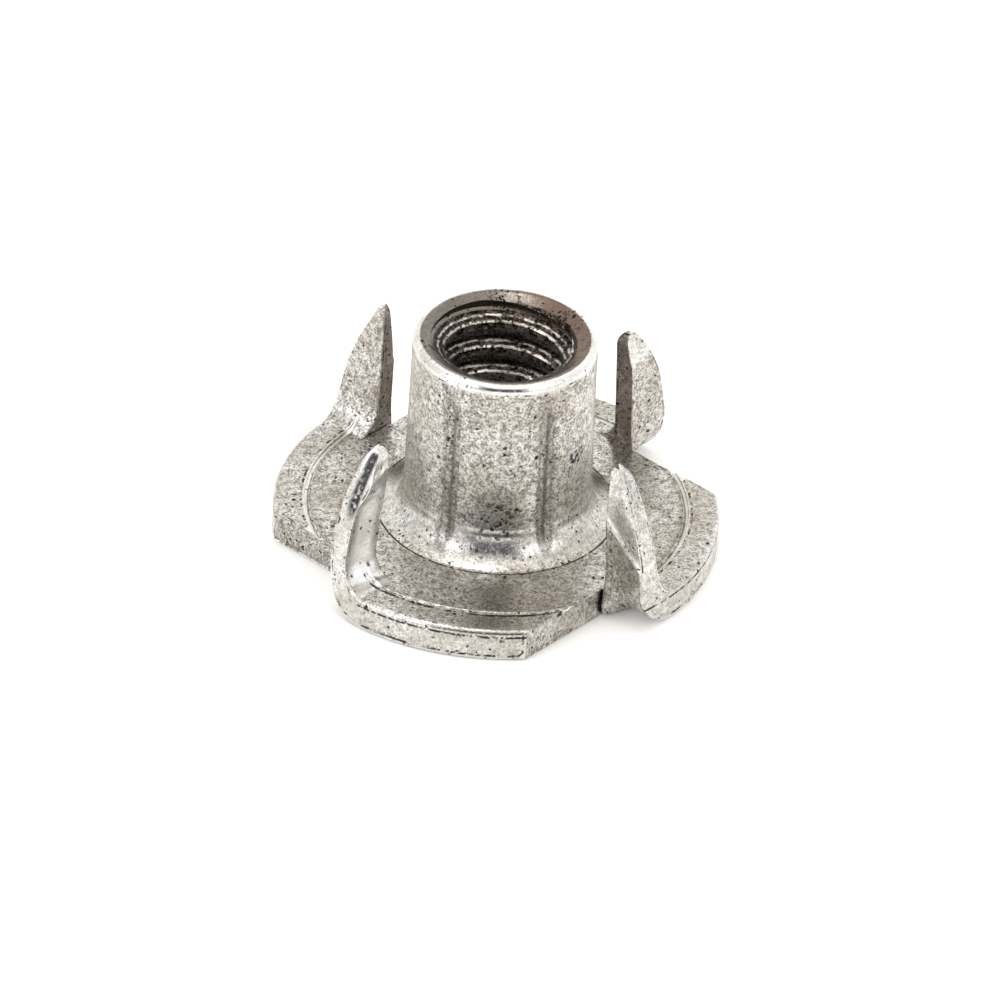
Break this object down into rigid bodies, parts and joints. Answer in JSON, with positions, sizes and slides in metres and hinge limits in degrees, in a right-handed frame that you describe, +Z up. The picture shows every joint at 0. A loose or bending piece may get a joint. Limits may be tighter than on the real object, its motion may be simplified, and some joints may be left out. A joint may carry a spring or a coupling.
{
  "type": "tee nut",
  "caption": "Pronged steel tee nut: a round flange with folded prongs and a threaded barrel, hammered into wood to take a bolt.",
  "frame": {"origin": "on the barrel axis at the flange underside", "axes": "+Z runs up the barrel, the way the prongs point; the flange lies in X and Y, and the prongs are turned as they stand in the picture when it is seen from -Y"},
  "size_m": [0.019, 0.019, 0.0099],
  "materials": {
    "steel": "bright tumbled steel with small pits and scratches"
  },
  "bodies": {
    "root": {"tee_nut": "steel"}
  },
  "joints": []
}
